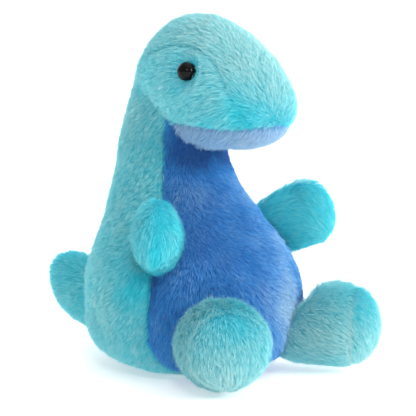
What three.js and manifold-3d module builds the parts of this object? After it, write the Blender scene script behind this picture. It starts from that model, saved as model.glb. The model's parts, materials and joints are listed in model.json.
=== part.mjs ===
// Palm-size plush sauropod, sitting: sewn fabric panels over stuffing, with a bean pouch in the belly.
// Millimetres, +Z up. The dinosaur faces -Y, its left side is +X, and it rests on z = 0.
import * as THREE from 'three';
import { mergeVertices } from 'three/addons/utils/BufferGeometryUtils.js';
import Module from 'manifold-3d';

const wasm = await Module();
wasm.setup();

// ---- driving dimensions ----
const PILE_PANEL = 2.6; // thickness of a fabric panel with its pile pressed flat
const LIMB_PANEL = 2.2; // the same on the small limbs
const SEAM = 0.4; // gap left along a sewn seam
const FILL_GAP = 1.1; // between a panel's back and the stuffing
const CLEARANCE = 0.5; // between two bodies that move
const FLOOR = 0; // the resting plane
const LIMB_FLOOR = 0.3; // the feet stay this much above it

const NECK_PIVOT = new THREE.Vector3(0, 12, 90);
const NOD = { min: -10, max: 10 };
const ARM_ROOT = new THREE.Vector3(27.4, -11.6, 49.5);
const ARM_OUT = 50; // degrees from straight ahead
const ARM_UP = 20; // degrees above the horizon
const ARM_SWING = { min: -20, max: 20 };
const LEG_ROOT_RADIUS = 36;
const LEG_OUT = 34;
const LEG_HEIGHT = 17.4;
const LEG_LIFT = { min: 0, max: 20 };
const TAIL_PIVOT = new THREE.Vector3(0, 37, 19);
const TAIL_WAG = { min: -15, max: 15 };
const SWEEP_STEP = 10; // degrees between the sampled positions of a moving joint

const EYE_STATION = { t: 0.563, angle: 104.5 }; // where the eye sits on the head form
const EYE = { radius: 3.3, rim: 0.5, dome: 2.5, sunk: 1.5, post: 1.1, postLength: 6 };
const EYE_SIDES = 16;
const EYE_ROOM = { under: 0.3, above: 5.5, washer: 1.6 }; // how far the cuts for the eye reach past it
const WASHER = { outer: 3.3, inner: 1.4, thickness: 0.9, behind: 1.4 }; // behind: from the cheek's back

const COLOURS = {
  turquoise: 0x5fc0ca,
  blue: 0x3f7fd0,
  periwinkle: 0x93b6e0,
  stuffing: 0xf4f4f0,
  pouch: 0xe6e3da,
  pellets: 0xdfe6ea,
  black: 0x0b0b0d,
  washer: 0xf0f0f0,
};

// Each station is [front y, front z, back y, back z, half width].
const TORSO_STATIONS = [
  [0.5, -4, 0.5, -4, 0],
  [-21, -2, 22, -2, 21],
  [-33, 3.2, 34, 3.4, 32.5],
  [-38.2, 13, 38.6, 14, 37.6],
  [-39.2, 27, 39, 28.5, 40],
  [-32, 43, 36.8, 43.5, 36],
  [-17.4, 60, 33.8, 61, 25.6],
  [-9, 76, 31.6, 78, 20.4],
  [-6.5, 88, 29.6, 90, 17.8],
  [-2.8, 98, 26.2, 100.4, 13.6],
  [4.5, 104.5, 18.6, 106.2, 7.6],
  [11.5, 106.5, 11.5, 106.5, 0],
];
// The head runs from the nape to the nose. Its "front" outline is the underside.
const HEAD_STATIONS = [
  [22.2, 107, 22.2, 107, 0],
  [22.4, 100, 20.4, 113.8, 8],
  [19, 93, 16.4, 120.8, 13],
  [10, 87, 9, 126.2, 17],
  [-2, 83.2, -2, 128.9, 19.7],
  [-14, 81.6, -13, 127.2, 20],
  [-25, 81.6, -23.5, 122.2, 18.8],
  [-35, 83.4, -33, 115.4, 15.6],
  [-42.8, 88, -41.2, 106.4, 10.6],
  [-46.4, 96.5, -46.4, 96.5, 0],
];
// The arm and leg run along +Y of their own frames. Their "front" outline is the lower edge.
const ARM_STATIONS = [
  [-5, 0, -5, 0, 0],
  [-3, -6, -3, 6, 4.4],
  [3, -11, 3, 11, 6.8],
  [10, -14.2, 10, 14.2, 8.4],
  [16.5, -13.8, 16.5, 13.8, 8.4],
  [21.8, -9.4, 21.8, 9.4, 6.2],
  [24.2, 0, 24.2, 0, 0],
];
const LEG_STATIONS = [
  [-9, 0, -9, 0, 0],
  [-6, -8, -6, 8, 8],
  [0, -12.4, 0, 12.4, 12.2],
  [8, -15.6, 8, 15.8, 15.2],
  [16, -17, 16, 17.2, 16.6],
  [23.5, -15.4, 23.5, 15.6, 15],
  [28.6, -10, 28.6, 10.4, 10],
  [30.6, 0, 30.6, 0, 0],
];
const TAIL_STATIONS = [
  [29, 17, 29, 17, 0],
  [33, 7, 31, 28, 10.4],
  [44, 6, 40, 30.6, 11.8],
  [56, 8, 50, 31.6, 11.2],
  [68, 13, 58.5, 33.6, 9.8],
  [75.6, 23, 66, 35, 7.6],
  [74, 33, 74, 33, 0],
];
const POUCH_STATIONS = [
  [-22, 17, -22, 17, 0],
  [-16, 8.5, -16, 28, 13],
  [0, 7, 0, 33, 20],
  [16, 8.5, 16, 28, 13],
  [22, 17, 22, 17, 0],
];

const DEGREES = Math.PI / 180;
const POLE = 0.006; // the normal is measured no nearer a pole than this
const NEAR_POLE = 0.12; // the station whose middle counts as inside for a pole
const NARROWEST = 2; // a seam's inset is worked out for a form at least this wide

// ---- a soft form: oval sections between two outlines in the YZ plane ----
class Form {
  constructor(stations, floor = -Infinity) {
    const points = (y, z) => stations.map((s) => new THREE.Vector3(s[4], s[y], s[z]));
    this.front = new THREE.CatmullRomCurve3(points(0, 1), false, 'centripetal');
    this.back = new THREE.CatmullRomCurve3(points(2, 3), false, 'centripetal');
    this.floor = floor;
  }

  // The point at station t and angle (0 on the front outline, 90 on the +X side).
  surface(t, angle) {
    const front = this.front.getPoint(t);
    const back = this.back.getPoint(t);
    const width = Math.max(0, front.x);
    const along = Math.cos(angle * DEGREES);
    return new THREE.Vector3(
      width * Math.sin(angle * DEGREES),
      (front.y + back.y) / 2 + ((front.y - back.y) / 2) * along,
      (front.z + back.z) / 2 + ((front.z - back.z) / 2) * along,
    );
  }

  middle(t) {
    return this.surface(t, 0).add(this.surface(t, 180)).multiplyScalar(0.5);
  }

  normal(t, angle) {
    if (t < POLE || t > 1 - POLE) {
      const inside = this.middle(t < POLE ? NEAR_POLE : 1 - NEAR_POLE);
      return this.surface(t, angle).sub(inside).normalize();
    }
    const alongT = this.surface(t + POLE / 2, angle).sub(this.surface(t - POLE / 2, angle));
    const alongA = this.surface(t, angle + 1).sub(this.surface(t, angle - 1));
    const normal = alongT.cross(alongA).normalize();
    const outward = this.surface(t, angle).sub(this.middle(t));
    return normal.dot(outward) < 0 ? normal.negate() : normal;
  }

  // The point at a depth under the surface, never below the floor.
  at(t, angle, depth) {
    const point = this.surface(t, angle).addScaledVector(this.normal(t, angle), -depth);
    point.z = Math.max(point.z, this.floor + Math.max(0, depth));
    return point;
  }
}

// ---- closed meshes ----
function cleaned(geometry) {
  const plain = geometry.clone();
  for (const name of ['normal', 'uv']) plain.deleteAttribute(name);
  return mergeVertices(plain, 1e-4);
}

function signedVolume(geometry) {
  const p = geometry.attributes.position;
  const [a, b, c] = [new THREE.Vector3(), new THREE.Vector3(), new THREE.Vector3()];
  let sum = 0;
  for (let i = 0; i < geometry.index.count; i += 3) {
    a.fromBufferAttribute(p, geometry.index.getX(i));
    b.fromBufferAttribute(p, geometry.index.getX(i + 1));
    c.fromBufferAttribute(p, geometry.index.getX(i + 2));
    sum += a.dot(b.cross(c));
  }
  return sum / 6;
}

// Merged, with its faces pointing out.
function closed(geometry) {
  const merged = cleaned(geometry);
  if (signedVolume(merged) < 0) {
    const index = merged.index;
    for (let i = 0; i < index.count; i += 3) {
      const swap = index.getX(i + 1);
      index.setX(i + 1, index.getX(i + 2));
      index.setX(i + 2, swap);
    }
  }
  return merged;
}

// Moves every vertex of a geometry to place(x, y, z).
function remapped(geometry, place) {
  const p = geometry.attributes.position;
  for (let i = 0; i < p.count; i += 1) {
    const moved = place(p.getX(i), p.getY(i), p.getZ(i), i);
    p.setXYZ(i, moved.x, moved.y, moved.z);
  }
  return geometry;
}

// Degrees to stay in from edge(t), so that half a SEAM is left square to a seam that may slant.
function seamInset(form, t, edge) {
  const [before, after] = [Math.max(t - POLE, 0), Math.min(t + POLE, 1)];
  const run = form.surface(after, edge(t)).distanceTo(form.surface(before, edge(t)));
  const radius = Math.max(form.surface(t, 90).x, NARROWEST);
  const rise = (edge(after) - edge(before)) * DEGREES * radius;
  return (SEAM / 2) * Math.hypot(1, rise / run) / radius / DEGREES;
}

// A curved fabric panel between stations [from, to] and angles edges(t) = [first, last].
function panel(form, stations, edges, thickness, steps) {
  const [from, to] = stations;
  const grid = new THREE.BoxGeometry(1, 1, 1, steps[0], steps[1], 1);
  return closed(remapped(grid, (x, y, z) => {
    const t = THREE.MathUtils.lerp(from, to, x + 0.5);
    const [first, last] = edges(t);
    const low = first + seamInset(form, t, (at) => edges(at)[0]);
    const high = last - seamInset(form, t, (at) => edges(at)[1]);
    return form.at(t, THREE.MathUtils.lerp(low, high, y + 0.5), (0.5 - z) * thickness);
  }));
}

// A closed solid whose rows are [station, depth] from one pole to the other.
function turned(form, rows, sides) {
  const ball = new THREE.SphereGeometry(1, sides, rows.length - 1);
  const uv = ball.attributes.uv;
  return closed(remapped(ball, (x, y, z, i) => {
    const row = Math.round((1 - uv.getY(i)) * (rows.length - 1));
    const column = (i % (sides + 1)) / sides;
    const [t, depth] = rows[row];
    return form.at(t, t === 0 || t === 1 ? 0 : column * 360, depth);
  }));
}

const rowsBetween = (from, to, count, depth) =>
  Array.from({ length: count + 1 }, (_, i) => [from + ((to - from) * i) / count, depth]);

const solidForm = (form, depth, rows, sides) => turned(form, rowsBetween(0, 1, rows, depth), sides);

// A fabric cap over the form's far pole, back to station t.
function cap(form, t, thickness, rows, sides) {
  return turned(
    form,
    [...rowsBetween(1, t, rows, 0), ...rowsBetween(t, 1, rows, thickness)],
    sides,
  );
}

// ---- booleans ----
function toManifold(geometry) {
  return new wasm.Manifold(new wasm.Mesh({
    numProp: 3,
    vertProperties: new Float32Array(geometry.attributes.position.array),
    triVerts: new Uint32Array(geometry.index.array),
  }));
}

function fromManifold(solid) {
  const mesh = solid.getMesh();
  const geometry = new THREE.BufferGeometry();
  geometry.setAttribute('position', new THREE.BufferAttribute(mesh.vertProperties, 3));
  geometry.setIndex(new THREE.BufferAttribute(mesh.triVerts, 1));
  return geometry;
}

// The geometry without the cutters; of what is left, the largest piece.
function cut(geometry, ...cutters) {
  let solid = toManifold(geometry);
  for (const cutter of cutters) solid = solid.subtract(cutter);
  const pieces = solid.decompose().sort((a, b) => b.volume() - a.volume());
  return fromManifold(pieces[0]);
}

// Everything that a still solid passes through, seen from a body that turns about a pivot.
function sweep(geometry, pivot, axis, range) {
  let swept = null;
  for (let angle = range.min; angle <= range.max; angle += SWEEP_STEP) {
    const turn = new THREE.Matrix4()
      .makeTranslation(pivot)
      .multiply(new THREE.Matrix4().makeRotationAxis(axis, -angle * DEGREES))
      .multiply(new THREE.Matrix4().makeTranslation(pivot.clone().negate()));
    const copy = toManifold(closed(geometry.clone().applyMatrix4(turn)));
    swept = swept ? swept.add(copy) : copy;
  }
  return swept;
}

const mirrored = (geometry) => closed(geometry.clone().scale(-1, 1, 1));

// ---- the scene graph ----
const dinosaur = new THREE.Group();

function bodyGroup(pivot) {
  const group = new THREE.Group();
  group.position.copy(pivot);
  dinosaur.add(group);
  group.updateMatrixWorld(true);
  return group;
}

function add(group, name, geometry, colour, roughness = 0.95) {
  const material = new THREE.MeshStandardMaterial({ color: colour, roughness, metalness: 0 });
  const mesh = new THREE.Mesh(geometry, material);
  mesh.name = name;
  group.attach(mesh);
}

// A mirrored pair: the left piece as given and the right piece across x = 0.
function addPair(groups, name, geometry, colour, roughness) {
  add(groups.left, `${name}_left`, geometry, colour, roughness);
  add(groups.right, `${name}_right`, mirrored(geometry), colour, roughness);
}

// ---- torso and neck ----
const torso = new Form(TORSO_STATIONS, FLOOR);
const torsoGroup = bodyGroup(new THREE.Vector3());
const torsoSkin = solidForm(torso, -CLEARANCE, 20, 28);

const BELLY_ANGLES = [40, 48, 61, 72, 70, 66, 59, 54, 52, 52, 52, 52]; // at each torso station
const bellyCurve = new THREE.SplineCurve(BELLY_ANGLES.map((a, i) => new THREE.Vector2(i, a)));
const bellyAngle = (t) => bellyCurve.getPoint(t).y;
const HEM = 0.115; // station of the panels' lower hem, just outside the base panel
const NECK_END = 0.975;
const WALL = [HEM, NECK_END];

const sidePanel = panel(torso, WALL, (t) => [bellyAngle(t), 180], PILE_PANEL, [15, 7]);
const belly = panel(torso, WALL, (t) => [-bellyAngle(t), bellyAngle(t)], PILE_PANEL, [15, 8]);
const torsoSides = { left: torsoGroup, right: torsoGroup };
addPair(torsoSides, 'body_side_panel', sidePanel, COLOURS.turquoise);
add(torsoGroup, 'belly_panel', belly, COLOURS.blue);

const BASE_RADII = [21.4, 21.9];
const baseOutline = new THREE.Shape();
baseOutline.absellipse(0, 0.5, BASE_RADII[0], BASE_RADII[1], 0, Math.PI * 2);
const basePanel = new THREE.ExtrudeGeometry(baseOutline, {
  depth: PILE_PANEL,
  bevelEnabled: false,
  curveSegments: 20,
});
add(torsoGroup, 'base_panel', closed(basePanel), COLOURS.turquoise);

// The bean pouch: two pieces of lining fabric sewn round the rim, full of pellets.
const pouch = new Form(POUCH_STATIONS);
const POUCH_FABRIC = 0.8;
const POUCH_RIM = 0.9;
const pouchRoom = toManifold(solidForm(pouch, -FILL_GAP, 7, 12));
const POUCH_SPAN = [0.05, 0.95];
const pouchHalf = (first, last) =>
  panel(pouch, POUCH_SPAN, () => [first, last], POUCH_FABRIC, [7, 6]);
add(torsoGroup, 'bean_pouch_lower', pouchHalf(-90, 90), COLOURS.pouch);
add(torsoGroup, 'bean_pouch_upper', pouchHalf(90, 270), COLOURS.pouch);
add(torsoGroup, 'pellet_fill', solidForm(pouch, POUCH_FABRIC + POUCH_RIM, 7, 12), COLOURS.pellets);
const torsoFill = solidForm(torso, PILE_PANEL + FILL_GAP, 16, 16);

// A short stub of stuffing leaves the pouch's room open at the back, where the pouch goes in.
const POUCH_MOUTH = { radius: 6, length: 30, y: 20, z: 20 };
const { radius: mouthRadius, length: mouthLength } = POUCH_MOUTH;
const mouth = new THREE.CylinderGeometry(mouthRadius, mouthRadius, mouthLength, 12);
mouth.translate(0, POUCH_MOUTH.y + mouthLength / 2, POUCH_MOUTH.z);
const stuffingShape = cut(torsoFill, pouchRoom, toManifold(closed(mouth)));
add(torsoGroup, 'body_stuffing', stuffingShape, COLOURS.stuffing);

// ---- head ----
const head = new Form(HEAD_STATIONS);
const headGroup = bodyGroup(NECK_PIVOT);
const headSides = { left: headGroup, right: headGroup };
const X_AXIS = new THREE.Vector3(1, 0, 0);
const neckSweep = sweep(torsoSkin, NECK_PIVOT, X_AXIS, NOD);

// Stations round the head.
const NAPE_START = 0.02;
const NAPE_END = 0.2; // the back panels' upper ends reach this far round the head
const CHIN_START = 0.36;
const CHEEK_END = 0.847; // the cheeks taper out on the muzzle here
const CHIN_END = 0.92; // the chin panel comes to a rounded point under the nose
const NOSE_END = 0.992;
const GAP = 0.008; // stations left at a seam that runs round the head
const CHIN_TIP_GAP = 0.012;
// Half the chin panel's width in degrees; it is blunt towards the nose and never under least.
const CHIN_ANGLES = { back: 40, front: 58, blunt: 6, least: 1.5 };
const BROW = { back: 110, top: 131, at: 0.6, bow: 2.4 }; // degrees of the seam over the brow
const CHEEK_TIP = 6; // degrees of cheek left at its tip on the muzzle
const mouthAngle = (t) => {
  const along = THREE.MathUtils.clamp((t - CHIN_START) / (CHIN_END - CHIN_START), 0, 1);
  const width = THREE.MathUtils.lerp(CHIN_ANGLES.back, CHIN_ANGLES.front, along);
  return Math.max(width * Math.sqrt(1 - along ** CHIN_ANGLES.blunt), CHIN_ANGLES.least);
};
// The seam between cheek and gusset rises over the brow and bows down the muzzle to the mouth.
const gussetAngle = (t) => {
  if (t < BROW.at) {
    const rise = THREE.MathUtils.smoothstep(t, NAPE_END, BROW.at);
    return THREE.MathUtils.lerp(BROW.back, BROW.top, rise);
  }
  const fall = THREE.MathUtils.clamp((t - BROW.at) / (CHEEK_END - BROW.at), 0, 1);
  return THREE.MathUtils.lerp(BROW.top, mouthAngle(CHEEK_END) + CHEEK_TIP, fall ** BROW.bow);
};
const gussetEdge = (t) => (t > CHEEK_END ? mouthAngle(t) : gussetAngle(t));

// The eye's own frame: +Z is the outward normal of the cheek.
const eyeNormal = head.normal(EYE_STATION.t, EYE_STATION.angle);
const eyeFrame = new THREE.Matrix4()
  .makeTranslation(head.at(EYE_STATION.t, EYE_STATION.angle, EYE.sunk))
  .multiply(new THREE.Matrix4().makeRotationFromQuaternion(
    new THREE.Quaternion().setFromUnitVectors(new THREE.Vector3(0, 0, 1), eyeNormal),
  ));
const lathe = (points, sides) => {
  const outline = points.map(([r, z]) => new THREE.Vector2(r, z));
  return new THREE.LatheGeometry(outline, sides).rotateX(Math.PI / 2);
};
// A round cutter in the eye's frame.
const drum = (radius, low, high) => {
  const outline = [[0, low], [radius, low], [radius, high], [0, high]];
  return toManifold(closed(lathe(outline, EYE_SIDES).applyMatrix4(eyeFrame)));
};
const eyeSocket = drum(EYE.radius + SEAM, -EYE_ROOM.under, EYE_ROOM.above);
const postHole = drum(EYE.post + SEAM, -EYE.postLength, EYE_ROOM.under);
const washerFace = EYE.sunk - PILE_PANEL - WASHER.behind;
const washerTop = washerFace + EYE_ROOM.washer;
const washerRoom = drum(WASHER.outer + CLEARANCE, -EYE.postLength - CLEARANCE, washerTop);

const cheekEdges = (t) => [mouthAngle(t), gussetEdge(t)];
const gussetEdges = (t) => [gussetEdge(t), 360 - gussetEdge(t)];
const chinEdges = (t) => [-mouthAngle(t), mouthAngle(t)];
const cheek = panel(head, [NAPE_END + GAP, CHEEK_END - GAP], cheekEdges, PILE_PANEL, [26, 7]);
const nape = panel(head, [NAPE_START, NAPE_END - GAP], () => [0, 180], PILE_PANEL, [6, 10]);
const gusset = panel(head, [NAPE_END + GAP, NOSE_END], gussetEdges, PILE_PANEL, [32, 10]);
const chin = panel(head, [CHIN_START, CHIN_END - CHIN_TIP_GAP], chinEdges, PILE_PANEL, [12, 6]);
const headFill = solidForm(head, PILE_PANEL + FILL_GAP, 11, 14);
const mirrorSolid = (solid) => toManifold(mirrored(fromManifold(solid)));

addPair(headSides, 'cheek_panel', cut(cheek, neckSweep, eyeSocket, postHole), COLOURS.turquoise);
addPair(headSides, 'nape_panel', cut(nape, neckSweep), COLOURS.turquoise);
const gussetPiece = cut(gusset, neckSweep, eyeSocket, mirrorSolid(eyeSocket));
add(headGroup, 'head_gusset', gussetPiece, COLOURS.turquoise);
add(headGroup, 'chin_panel', cut(chin, neckSweep), COLOURS.periwinkle);
add(
  headGroup,
  'head_stuffing',
  cut(headFill, neckSweep, postHole, washerRoom, mirrorSolid(postHole), mirrorSolid(washerRoom)),
  COLOURS.stuffing,
);

// A safety eye: a domed button with a post, held by a washer behind the cheek.
const DOME_STEPS = 5;
const domeArc = Array.from({ length: DOME_STEPS }, (_, i) => {
  const angle = (i / DOME_STEPS) * 90 * DEGREES;
  return [EYE.radius * Math.cos(angle), EYE.dome * Math.sin(angle) + EYE.rim];
});
const eyeOutline = [
  [0, -EYE.postLength],
  [EYE.post, -EYE.postLength],
  [EYE.post, 0],
  [EYE.radius, 0],
  ...domeArc,
  [0, EYE.dome + EYE.rim],
];
const eye = closed(lathe(eyeOutline, EYE_SIDES).applyMatrix4(eyeFrame));
addPair(headSides, 'eye', eye, COLOURS.black, 0.08);
const washerOutline = [
  [WASHER.inner, washerFace - WASHER.thickness],
  [WASHER.outer, washerFace - WASHER.thickness],
  [WASHER.outer, washerFace],
  [WASHER.inner, washerFace],
  [WASHER.inner, washerFace - WASHER.thickness],
];
const washer = closed(lathe(washerOutline, EYE_SIDES).applyMatrix4(eyeFrame));
addPair(headSides, 'eye_washer', washer, COLOURS.washer, 0.5);

// ---- limbs ----
// A limb's frame: +Y along it, +Z up its edge, at its root.
function limbFrame(root, outDegrees, upDegrees) {
  const turn = new THREE.Euler(upDegrees * DEGREES, 0, (outDegrees - 180) * DEGREES, 'ZXY');
  return new THREE.Matrix4().makeRotationFromEuler(turn).setPosition(root);
}

function limbGroups(root) {
  return { left: bodyGroup(root), right: bodyGroup(root.clone().multiply(new THREE.Vector3(-1, 1, 1))) };
}

// Arms: an outer and an inner paddle panel, sewn round the edge.
const arm = new Form(ARM_STATIONS);
const armFrame = limbFrame(ARM_ROOT, ARM_OUT, ARM_UP);
const armAxis = new THREE.Vector3(0, 0, 1).transformDirection(armFrame);
const armSweep = sweep(torsoSkin, ARM_ROOT, armAxis, ARM_SWING);
const armGroups = limbGroups(ARM_ROOT);
const placedArm = (geometry) => cut(closed(geometry.applyMatrix4(armFrame)), armSweep);
const ARM_SPAN = [0.12, 0.972];
const armPanel = (first, last) => panel(arm, ARM_SPAN, () => [first, last], LIMB_PANEL, [10, 6]);
addPair(armGroups, 'arm_inner_panel', placedArm(armPanel(0, 180)), COLOURS.turquoise);
addPair(armGroups, 'arm_outer_panel', placedArm(armPanel(180, 360)), COLOURS.turquoise);
const armFill = solidForm(arm, LIMB_PANEL + FILL_GAP, 8, 12);
addPair(armGroups, 'arm_stuffing', placedArm(armFill), COLOURS.stuffing);

// Legs: two side panels round the shin and a domed sole.
const leg = new Form(LEG_STATIONS);
const legOut = LEG_OUT * DEGREES;
const legRoot = new THREE.Vector3(
  LEG_ROOT_RADIUS * Math.sin(legOut),
  -LEG_ROOT_RADIUS * Math.cos(legOut),
  LEG_HEIGHT,
);
const legFrame = limbFrame(legRoot, LEG_OUT, 0);
const legAxis = new THREE.Vector3(1, 0, 0).transformDirection(legFrame);
const legSweep = sweep(torsoSkin, legRoot, legAxis, LEG_LIFT);
const legGroups = limbGroups(legRoot);
const placedLeg = (geometry) => {
  const placed = geometry.applyMatrix4(legFrame);
  remapped(placed, (x, y, z) => new THREE.Vector3(x, y, Math.max(z, LIMB_FLOOR)));
  return cut(closed(placed), legSweep);
};
const SOLE_EDGE = 0.71;
const SOLE_GAP = 0.006; // stations left on each side of the sole's seam
const LEG_START = 0.12;
const legPanel = (first, last) =>
  panel(leg, [LEG_START, SOLE_EDGE - SOLE_GAP], () => [first, last], LIMB_PANEL, [8, 8]);
addPair(legGroups, 'leg_inner_panel', placedLeg(legPanel(0, 180)), COLOURS.turquoise);
addPair(legGroups, 'leg_outer_panel', placedLeg(legPanel(180, 360)), COLOURS.turquoise);
const sole = cap(leg, SOLE_EDGE + SOLE_GAP, LIMB_PANEL, 4, 16);
const legFill = solidForm(leg, LIMB_PANEL + FILL_GAP, 10, 14);
addPair(legGroups, 'foot_sole_panel', placedLeg(sole), COLOURS.turquoise);
addPair(legGroups, 'leg_stuffing', placedLeg(legFill), COLOURS.stuffing);

// Tail: a left and a right panel, sewn along the top and the bottom.
const tail = new Form(TAIL_STATIONS);
const tailGroup = bodyGroup(TAIL_PIVOT);
const tailSides = { left: tailGroup, right: tailGroup };
const Z_AXIS = new THREE.Vector3(0, 0, 1);
const tailSweep = sweep(torsoSkin, TAIL_PIVOT, Z_AXIS, TAIL_WAG);
const TAIL_SPAN = [0.1, 0.99];
const tailPanel = panel(tail, TAIL_SPAN, () => [0, 180], LIMB_PANEL, [10, 7]);
addPair(tailSides, 'tail_panel', cut(tailPanel, tailSweep), COLOURS.turquoise);
const tailFill = solidForm(tail, LIMB_PANEL + FILL_GAP, 9, 12);
add(tailGroup, 'tail_stuffing', cut(tailFill, tailSweep), COLOURS.stuffing);

export default dinosaur;
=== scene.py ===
"""Palm-size plush sauropod, sitting: the looks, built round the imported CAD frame.

Each sewn part gets a skin: its CAD solids are wrapped in one closed mesh, swollen by a cloth simulation that
is pinned along the seams. The pile is then planted on the skins, strand by strand, one piece or more for each
fabric panel. Metres, +Z up. The dinosaur faces -Y and its left side is +X.
"""

import json
import math

import bpy
import numpy as np
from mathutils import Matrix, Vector
from mathutils.bvhtree import BVHTree
from mathutils.kdtree import KDTree


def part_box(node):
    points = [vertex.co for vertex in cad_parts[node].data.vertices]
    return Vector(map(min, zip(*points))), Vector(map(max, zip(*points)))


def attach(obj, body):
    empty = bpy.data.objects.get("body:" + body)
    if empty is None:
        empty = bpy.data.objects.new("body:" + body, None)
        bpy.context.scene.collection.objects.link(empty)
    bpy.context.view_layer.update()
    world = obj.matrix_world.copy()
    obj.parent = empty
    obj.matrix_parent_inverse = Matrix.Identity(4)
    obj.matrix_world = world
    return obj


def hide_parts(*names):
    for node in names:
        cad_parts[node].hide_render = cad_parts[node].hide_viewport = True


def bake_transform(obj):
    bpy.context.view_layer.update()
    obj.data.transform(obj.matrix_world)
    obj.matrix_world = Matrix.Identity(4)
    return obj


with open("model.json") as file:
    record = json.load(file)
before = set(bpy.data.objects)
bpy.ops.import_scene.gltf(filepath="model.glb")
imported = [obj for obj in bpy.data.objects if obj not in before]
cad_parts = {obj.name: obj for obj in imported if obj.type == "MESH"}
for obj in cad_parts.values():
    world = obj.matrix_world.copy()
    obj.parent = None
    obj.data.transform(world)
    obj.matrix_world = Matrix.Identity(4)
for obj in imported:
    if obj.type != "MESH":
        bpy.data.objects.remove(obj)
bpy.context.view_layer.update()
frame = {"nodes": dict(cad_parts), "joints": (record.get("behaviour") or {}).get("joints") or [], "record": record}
MM = 0.001
Z = np.array([0.0, 0.0, 1.0])
WAVES = 5  # how many waves a smooth field is made of

# ---- the sewn parts ----
HEAD_PANELS = ["cheek_panel_left", "cheek_panel_right", "nape_panel_left", "nape_panel_right", "head_gusset",
               "chin_panel"]
TORSO_PANELS = ["body_side_panel_left", "body_side_panel_right", "belly_panel", "base_panel"]
TORSO_FILL = ["body_stuffing", "bean_pouch_lower", "bean_pouch_upper", "pellet_fill"]
HEAD_FILL = ["head_stuffing", "eye_washer_left", "eye_washer_right"]

# ---- skins ----
PILE_DEPTH = 1.95 * MM  # how far the skin lies under the CAD surface, which is the pile's own surface
BODY_CLOSING = 2.0 * MM  # gaps between the CAD solids up to twice this wide are bridged
BODY_VOXEL = 2.2 * MM  # the spacing of the points that the skin is made of
BODY_SWELL = 0.9 * MM  # room left for the simulation to fill the skin out
LIMB_CLOSING = 1.0 * MM
LIMB_SWELL = 0.3 * MM
PULL_IN, LET_OUT = 0.55, -0.58  # the two halves of a round of smoothing
WRAP_ROUNDS, SUNK_ROUNDS, SWOLLEN_ROUNDS = 6, 3, 2  # of smoothing, after each step of making a skin
SIM_SCALE = 100  # the cloth is simulated this much larger, because its forces suit objects of that size
SIM_PRESSURE = 4
SIM_FRAMES = 20
SWELL_CAP = 1.7 * MM  # the furthest that the simulation may move a point
SEAM_WIDTH = 2.6 * MM  # how far from a seam the skin is drawn in
SEAM_DEPTH = 0.35 * MM  # and how deep at the seam
UNEVEN = 0.22 * MM  # how lumpy the stuffing leaves the skin
UNEVEN_SCALE = 16 * MM
CLOTH_THICKNESS = 0.6 * MM
FLUSH_PLACE = (0, 0.020, 0.1005)  # the nape, where the seams are brushed over and don't draw the skin in
FLUSH_RADIUS = 15 * MM
FLUSH_SHIFT = 1.5 * SEAM_WIDTH  # how much further off the seams count as being there
# Where the skin is drawn in, or stands out below 0: (place, radius, depth).
HOLLOWS = [
    ((-0.0376, 0.011, 0.0215), 3.2 * MM, 1.0 * MM),  # the crease down the right flank
    ((-0.0370, 0.010, 0.0160), 3.0 * MM, 0.8 * MM),
    ((0.0100, -0.0375, 0.0330), 3.5 * MM, 0.4 * MM),  # the pucker of the belly beside the left leg
    ((0.0070, -0.0380, 0.0250), 3.5 * MM, 0.5 * MM),
    ((0, 0.0235, 0.1010), 9.0 * MM, -0.6 * MM),  # the nape is full
    ((-0.0130, 0.0265, 0.0790), 12.0 * MM, 0.7 * MM),  # the back of the neck
    ((-0.0200, 0.0285, 0.0560), 14.0 * MM, 0.8 * MM),  # the back
    ((0.0070, -0.0175, 0.0690), 9.0 * MM, 0.6 * MM),  # the front of the neck
    ((0.0225, -0.0325, 0.0310), 8.0 * MM, 0.7 * MM),  # the body over the left leg's root
]

# ---- pile ----
ROOT_SEED, STRAND_SEED, MOTTLE_SEED = 10, 11, 5
DENSITY = 15.0 / MM**2  # strands on a square metre
STRAND_WIDTH = 0.1 * MM
STRAND_SINK = 0.4 * MM  # how deep a strand is rooted in the skin
STRANDS_PER_PIECE = 38000
STATIONS = np.array([0, 0.34, 0.68, 1])  # where along a strand its points are, from root to tip
TAPER = np.array([0.85, 1, 0.75])  # its width at all of them but the tip, which is a point
RISE_BEND, REACH_BEND, CLUMP_BEND = 0.85, 1.45, 1.6  # how soon a strand rises, leans over and joins its clump
CLUMP = 0.12  # how far the strands' tips are drawn to their clump's middle
CLUMP_SIZE, TUFT_SIZE = 5, 60  # strands in each
LOOSE_SHARE = 0.1  # of the strands stand out of the pile
LOOSE_RISE = 18  # degrees
# How much each clump, each tuft and each strand differs from the rest.
TURNS = (6, 4, 10)  # degrees about the skin's normal
TILTS = (3.5, 3, 5)  # degrees from the skin's normal
LENGTHS = (0.06, 0.06, 0.08)
SHADES = (0.08, 0.05, 0.12)
LEAN_LIMITS = (5, 85)
MIDDLE_SHADE, SHADE_LIMITS = 0.5, (0.02, 0.95)
DRIFT, DRIFT_SCALE = 9, 18 * MM  # degrees by which the brushing wanders, and over what distance
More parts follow.
